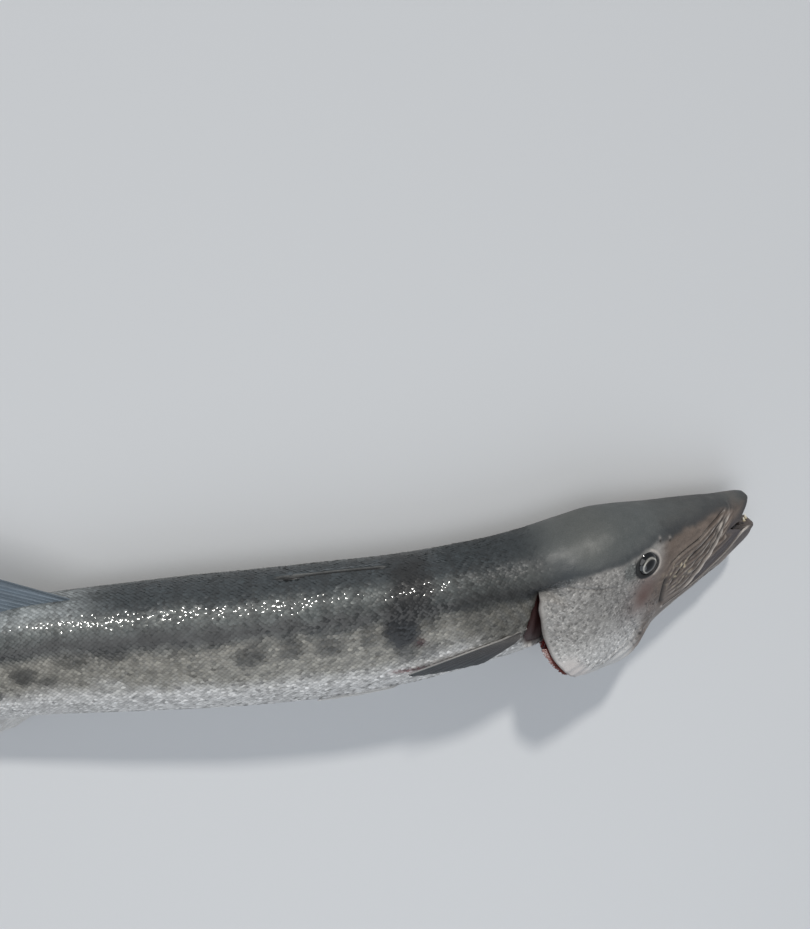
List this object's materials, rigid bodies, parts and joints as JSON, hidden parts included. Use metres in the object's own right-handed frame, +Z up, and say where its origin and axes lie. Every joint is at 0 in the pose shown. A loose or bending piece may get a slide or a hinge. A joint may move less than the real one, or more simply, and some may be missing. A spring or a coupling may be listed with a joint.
{
  "type": "barracuda",
  "caption": "Great barracuda as a still, life-size museum model, lying on its left flank with its gill cover open.",
  "frame": {"origin": "on the floor under the middle of the body, at the flat of the left flank", "axes": "+X toward the snout, +Y toward the back, +Z up out of the right flank"},
  "size_m": [1.135, 0.3505, 0.11],
  "materials": {
    "skin": "wet scaled skin, dark green-grey above, silver-grey on the flank, pale below",
    "cheek": "silvery, finely speckled gill cover",
    "belly": "pale, soft skin",
    "fin": "smoky rays and webs",
    "eye": "dark, with a silver ring",
    "gill": "wet dark red"
  },
  "bodies": {
    "root": {"head_upper": "skin", "jaw_lower": "cheek", "throat": "belly", "gill_cover_right": "cheek", "gill_cover_left": "cheek", "eye_right": "eye", "eye_left": "eye", "body_front": "skin", "body_middle": "skin", "body_rear": "skin", "tail_front": "skin", "tail_stem": "skin", "fin_dorsal_first": "fin", "fin_dorsal_second": "fin", "fin_anal": "fin", "caudal_lobe_upper": "fin", "caudal_lobe_lower": "fin", "fin_pectoral_right": "fin", "fin_pectoral_left": "fin", "fin_pelvic_right": "fin", "fin_pelvic_left": "fin", "gills_right": "gill", "gills_left": "gill"}
  },
  "joints": []
}
